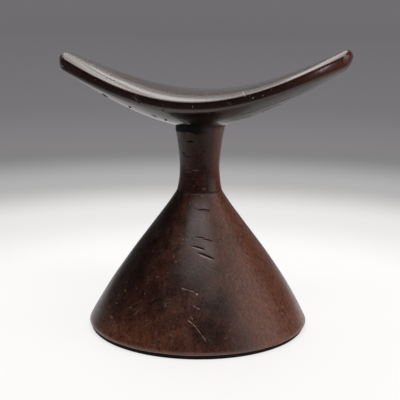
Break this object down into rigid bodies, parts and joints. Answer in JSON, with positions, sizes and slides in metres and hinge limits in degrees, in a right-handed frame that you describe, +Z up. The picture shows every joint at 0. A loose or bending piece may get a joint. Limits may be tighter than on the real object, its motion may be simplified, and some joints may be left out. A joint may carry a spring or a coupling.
{
  "type": "carved wooden headrest",
  "caption": "Carved wooden headrest: an upswept, boat-bottomed crescent cradles a sleeper's head on a waisted neck and a broad bell-sided cone foot.",
  "frame": {"origin": "on the ground, under the middle of the crescent (bottom centre of the bounding box)", "axes": "+X along the crescent towards its slightly higher tip, +Y across it towards the back, +Z up"},
  "size_m": [0.1704, 0.1288, 0.1643],
  "materials": {
    "crescent_wood": "near-black hand-polished patina, glossy",
    "neck_wood": "dark red-brown handled patina, semi-gloss",
    "cone_wood": "mottled dark brown waxed patina, satin with small cuts",
    "foot_wood": "dark worn wood, satin"
  },
  "bodies": {
    "root": {"rest": "crescent_wood", "neck": "neck_wood", "cone_base": "cone_wood", "foot_rim": "foot_wood"}
  },
  "joints": []
}
